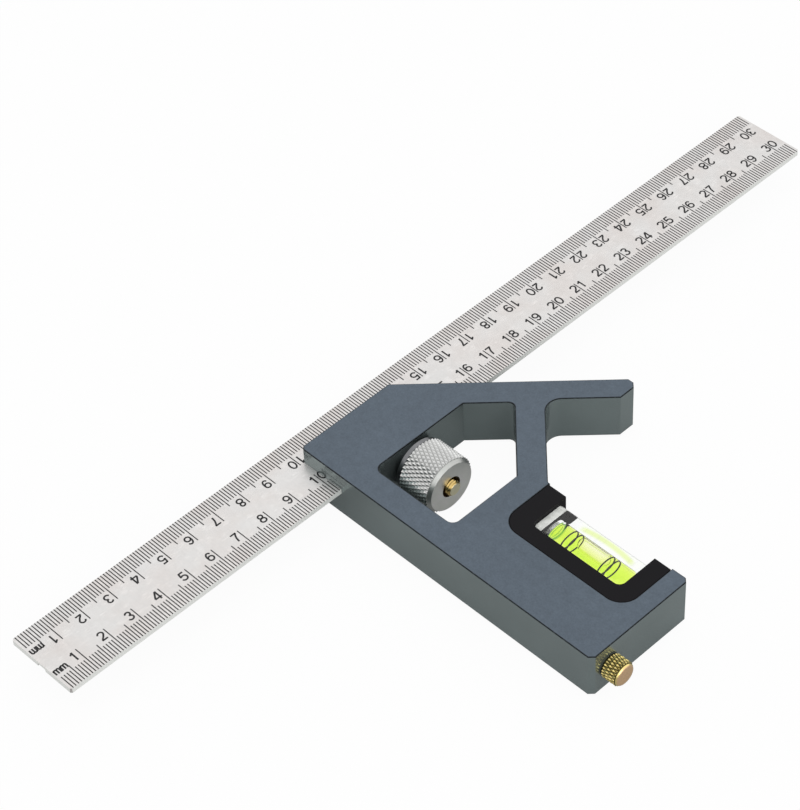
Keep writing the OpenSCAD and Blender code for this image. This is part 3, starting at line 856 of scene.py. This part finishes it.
def liquid_form(sizes, start, centre, bore):
    """The liquid, which fills the bore from its start, with rounded ends and the bubble's
    hollow in it."""
    depth = LIQUID_HIGH.x - start
    bm = bmesh.new()
    bmesh.ops.create_cone(
        bm, cap_ends=True, segments=128, radius1=bore, radius2=bore, depth=depth,
        matrix=Matrix.Translation((start + depth / 2, centre.y, 0))
        @ Matrix.Rotation(math.pi / 2, 4, "Y"))
    rims = [e for e in bm.edges if abs(e.verts[0].co.x - e.verts[1].co.x) < TOUCH]
    bmesh.ops.bevel(bm, geom=rims, offset=sizes.end_round, offset_type="OFFSET", segments=8,
                    profile=0.5, affect="EDGES", material=-1, clamp_overlap=True)
    hollow = bubble_form(sizes, centre, bore, 2 * SKIN)
    bmesh.ops.reverse_faces(hollow, faces=hollow.faces)
    join_mesh(bm, hollow)
    return bm


# Studio

def pale_floor(sizes):
    """The floor's matt paint. The camera sees it nearly white, clear pieces show it white with
    the light that the level throws on it, and metal mirrors it at a fixed brightness."""
    material, finish = new_material("Pale floor", sizes.floor)
    shine = (*(sizes.floor_shine,) * 3, 1)
    tone = finish.noise(300, 2.0)
    through = finish.node("ShaderNodeLightPath", output="Transmission Depth").clamped()
    mirrored = finish.node("ShaderNodeLightPath", output="Is Glossy Ray") * (1.0 - through)
    seen = finish.node("ShaderNodeLightPath", output="Is Camera Ray")
    matt = finish.node("ShaderNodeBsdfPrincipled", None, {
        "Base Color": finish.blend(mirrored, finish.tint(sizes.floor, tone * 0.01), shine),
        "Roughness": 0.9,
        "Specular IOR Level": 0.0,
    })
    # The glow is a shallow arc along the vial, beyond its axis, in millimetres
    middle = (VIAL_LOW + VIAL_HIGH) / 2 / MM
    arc_x, arc_y, half, rise, width = middle.x - 4.0, middle.y + 1.4, 10.5, 1.2, 0.9
    run = (finish.axis("X") - arc_x) / half
    apart = finish.axis("Y") - (run ** 2.0) * rise - arc_y
    across = (1.5 - abs(apart) / width).clamped()
    glow = across * ((1.0 - run ** 2.0) * 3.0).clamped() * through
    white = finish.node("ShaderNodeEmission", None, {
        "Color": finish.blend(glow, finish.blend(mirrored, (1, 1, 1, 1), shine),
                              (*sizes.vial_glow, 1)),
        "Strength": 1.0,
    })
    finish.surface(finish.node("ShaderNodeMixShader", None, {
        0: (seen * 0.95 + through + mirrored * 0.3).clamped(), 1: matt, 2: white}))
    return material


def soft_sky(world, brightness):
    """Even light from all round, and plain white where it is looked at."""
    sky = Finish(world.node_tree)
    seen = sky.node("ShaderNodeLightPath", output="Is Camera Ray")
    for kind in ("Is Glossy Ray", "Is Transmission Ray"):
        seen = seen + sky.node("ShaderNodeLightPath", output=kind)
    level = sky.blend(seen.clamped(), (*(brightness,) * 3, 1), (1, 1, 1, 1))
    shade = sky.node("ShaderNodeBackground", None, {"Color": level, "Strength": 1.0})
    sky.node("ShaderNodeOutputWorld", None, {"Surface": shade})


def add_softbox(name, place, power, size):
    """A square light that points at the square's head."""
    lamp = bpy.data.lights.new(name, "AREA")
    lamp.energy = power
    lamp.size = size
    stand = bpy.data.objects.new(name, lamp)
    stand.location = place
    aim = Vector((0.02, 0.03, 0)) - Vector(place)
    stand.rotation_euler = aim.to_track_quat("-Z", "Y").to_euler()
    bpy.context.scene.collection.objects.link(stand)


def add_camera(sizes):
    """The camera at the photograph's angle."""
    back = -Vector(sizes.camera_aim).normalized()
    right = Vector(sizes.camera_up).cross(back).normalized()
    up = back.cross(right)
    camera = bpy.data.objects.new("Camera", bpy.data.cameras.new("Camera"))
    camera.data.lens = sizes.lens
    camera.data.clip_start = 10 * MM
    camera.matrix_world = Matrix.Translation(sizes.camera_place) @ Matrix(
        (right, up, back)).transposed().to_4x4()
    bpy.context.scene.collection.objects.link(camera)
    bpy.context.scene.camera = camera


# Operators

class SQUARE_OT_head(bpy.types.Operator):
    """Dress the head in its blasted coating, with its edges broken"""
    bl_idname = "square.head"
    bl_label = "Head"

    def execute(self, context):
        sizes = context.scene.square_head
        bm = merged_copy("head")
        top, bottom = HEAD_HIGH.z, HEAD_LOW.z
        rims = [e for e in bm.edges
                if len(e.link_faces) == 2 and e.calc_face_angle(0) > math.radians(60)
                and any(all(abs(v.co.z - level) < TOUCH for v in e.verts)
                        for level in (top, bottom))]
        if not rims:
            raise RuntimeError("the head has no edges to break")
        bmesh.ops.bevel(bm, geom=rims, offset=sizes.edge_break, offset_type="OFFSET",
                        segments=2, profile=0.5, affect="EDGES", material=-1,
                        clamp_overlap=True)
        side = bm.faces.layers.float.new("side")
        edge = bm.faces.layers.float.new("edge")
        # Sides stand upright, and broken edges slope and are narrow and get painted shade
        largest_edge = 40 * MM * MM
        for face in bm.faces:
            level = abs(face.normal.z)
            face[side] = float(level < 0.9)
            face[edge] = float(0.3 < level < 0.95 and face.calc_area() < largest_edge)
        head = make_piece("head_casting", bm, "head",
                          blasted_coating(sizes.coating, sizes.sides, sizes.edges), 20)
        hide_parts("head")
        return {"FINISHED"}


class SQUARE_OT_blade(bpy.types.Operator):
    """Finish the blade and mark its scale along both edges"""
    bl_idname = "square.blade"
    bl_label = "Blade and Scale"

    def execute(self, context):
        sizes = context.scene.square_blade
        give_material("blade", satin_steel(sizes.steel, sizes.ground, BLADE_LOW, BLADE_HIGH))
        bm = bmesh.new()
        add_marks(bm, sizes)
        add_numerals(bm, sizes)
        bmesh.ops.recalc_face_normals(bm, faces=bm.faces)
        make_piece("blade_scale", bm, "blade", filled_ink(sizes.ink))
        return {"FINISHED"}


class SQUARE_OT_clamp(bpy.types.Operator):
    """Finish the knob, the threaded bolt and its spring"""
    bl_idname = "square.clamp"
    bl_label = "Clamp"

    def execute(self, context):
        sizes = context.scene.square_clamp
        y = (BOLT_LOW.y + BOLT_HIGH.y) / 2
        rim_end = KNOB_LOW.x + sizes.rim_width
        bevel_start = KNOB_HIGH.x - sizes.bevel_width
        give_material("clamp_knob", bright_metal(
            "Knurled bright metal", sizes.knob, 0.22, 0.15,
            # Painted shade in the knurl's grooves
            (y, KNOB_HIGH.z, sizes.knurl_depth, 0.3),
            # The rim and its groove are painted dark as painted shade
            [(KNOB_LOW.x - MM, rim_end, sizes.knob_rim, 0.3),
             (bevel_start, KNOB_HIGH.x, sizes.knob_bevel, 0.38),
             (KNOB_HIGH.x - 2 * SKIN, KNOB_HIGH.x + MM, sizes.knob_face, 0.16)],
            # Painted reflection of the stud and painted shade in the recess
            (y, sizes.recess_width / 2, sizes.recess)))
        give_material("clamp_spring", bright_metal("Spring steel", sizes.spring, 0.3, 0.2))
        brass = bright_metal("Turned brass", sizes.brass, 0.22, 0.12, zones=[
            (BOLT_HIGH.x - 5 * SKIN, BOLT_HIGH.x + MM, sizes.brass_end, 0.3)])

        thread_start = BOLT_HIGH.x - sizes.thread_turns * sizes.pitch
        bm = merged_copy("clamp_bolt")
        close_end(bm, thread_start, 1)
        join_mesh(bm, stud_thread(sizes, thread_start, y))
        bolt = make_piece("threaded_bolt", bm, "bolt", brass)
        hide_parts("clamp_bolt")
        return {"FINISHED"}


class SQUARE_OT_level(bpy.types.Operator):
    """Finish the holder and build the clear vial with its liquid and bubble"""
    bl_idname = "square.level"
    bl_label = "Spirit Level"

    def execute(self, context):
        sizes = context.scene.square_level
        give_material("vial_holder", moulded_black(sizes.holder))
        give_material("vial_plug", frosted_plug(sizes.plug, sizes.acrylic_index))
        middle = (VIAL_HIGH.x + PLUG_LOW.x) / 2
        centre = Vector((middle, (LIQUID_LOW.y + LIQUID_HIGH.y) / 2, 0))
        bore = (LIQUID_HIGH.y - LIQUID_LOW.y) / 2 + 2 * SKIN
        bore_start = PLUG_HIGH.x + SKIN
        liquid_start = bore_start + 4 * SKIN

        bm = block_form(sizes, centre.y, bore, bore_start)
        block = make_piece("vial_block", bm, "head",
                           clear_acrylic(sizes.acrylic_index), 40)
        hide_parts("vial_body")

        rings = make_piece("vial_ring_paint", ring_form(sizes, middle), "head",
                           moulded_black(sizes.rings))
        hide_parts("vial_rings")

        bm = liquid_form(sizes, liquid_start, centre, bore)
        liquid = make_piece("vial_filling", bm, "head",
                            level_liquid(sizes, liquid_start, centre.y))
        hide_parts("vial_liquid")

        bm = bubble_form(sizes, centre, bore, 5 * SKIN)
        make_piece("vial_bubble", bm, "head",
                   bubble_air(sizes.bubble_index / sizes.acrylic_index), 60)
        return {"FINISHED"}


class SQUARE_OT_scriber(bpy.types.Operator):
    """Finish the scriber's brass head and sleeve and its steel pin"""
    bl_idname = "square.scriber"
    bl_label = "Scriber"

    def execute(self, context):
        sizes = context.scene.square_scriber
        y = (GRIP_LOW.y + GRIP_HIGH.y) / 2
        give_material("scriber_head", bright_metal(
            "Knurled brass", sizes.brass, 0.16, 0.15,
            # Painted shade in the knurl's grooves
            (y, GRIP_HIGH.z, sizes.knurl_depth, 0.9),
            [(GRIP_HIGH.x - sizes.end_width, GRIP_HIGH.x + MM, sizes.end, 0.25)]))
        give_material("scriber_sleeve", bright_metal("Sleeve brass", sizes.brass, 0.25, 0.15))
        give_material("scriber_pin", bright_metal("Hardened steel", sizes.pin, 0.28, 0.1))
        return {"FINISHED"}


class SQUARE_OT_stage(bpy.types.Operator):
    """Set up the pale floor, the soft studio light and the camera"""
    bl_idname = "square.stage"
    bl_label = "Studio"

    def execute(self, context):
        sizes = context.scene.square_stage
        bm = bmesh.new()
        bmesh.ops.create_grid(bm, x_segments=1, y_segments=1, size=4.0,
                              matrix=Matrix.Translation((0, 0, CAD_BOX[0].z)))
        mesh = bpy.data.meshes.new("floor")
        bm.to_mesh(mesh)
        bm.free()
        mesh.materials.append(pale_floor(sizes))
        floor = bpy.data.objects.new("floor", mesh)
        context.scene.collection.objects.link(floor)

        world = bpy.data.worlds.new("Soft studio")
        world.use_nodes = True
        soft_sky(world, sizes.sky)
        context.scene.world = world

        add_softbox("Key softbox", (-0.5, 0.7, 1.6), sizes.key_power, 1.2)
        add_softbox("Fill softbox", (1.4, -0.5, 0.9), sizes.fill_power, 1.0)
        add_camera(sizes)
        context.scene.view_settings.view_transform = "Standard"
        return {"FINISHED"}


class SQUARE_PT_panel(bpy.types.Panel):
    """Lists the square's pieces and its studio"""
    bl_label = "Adjustable Square"
    bl_idname = "SQUARE_PT_panel"
    bl_space_type = "VIEW_3D"
    bl_region_type = "UI"
    bl_category = "Square"

    def draw(self, context):
        for operator in OPERATORS:
            self.layout.operator(operator.bl_idname)


GROUPS = {
    "square_blade": BladeSettings,
    "square_head": HeadSettings,
    "square_clamp": ClampSettings,
    "square_level": LevelSettings,
    "square_scriber": ScriberSettings,
    "square_stage": StageSettings,
}
OPERATORS = (SQUARE_OT_stage, SQUARE_OT_head, SQUARE_OT_blade, SQUARE_OT_clamp, SQUARE_OT_level,
             SQUARE_OT_scriber)


def register():
    for group in GROUPS.values():
        bpy.utils.register_class(group)
    for name, group in GROUPS.items():
        setattr(bpy.types.Scene, name, bpy.props.PointerProperty(type=group))
    for operator in (*OPERATORS, SQUARE_PT_panel):
        bpy.utils.register_class(operator)


def unregister():
    for operator in reversed((*OPERATORS, SQUARE_PT_panel)):
        bpy.utils.unregister_class(operator)
    for name in GROUPS:
        delattr(bpy.types.Scene, name)
    for group in GROUPS.values():
        bpy.utils.unregister_class(group)


def main():
    register()
    bpy.ops.square.stage()
    bpy.ops.square.head()
    bpy.ops.square.blade()
    bpy.ops.square.clamp()
    bpy.ops.square.level()
    bpy.ops.square.scriber()


if __name__ == "__main__":
    main()
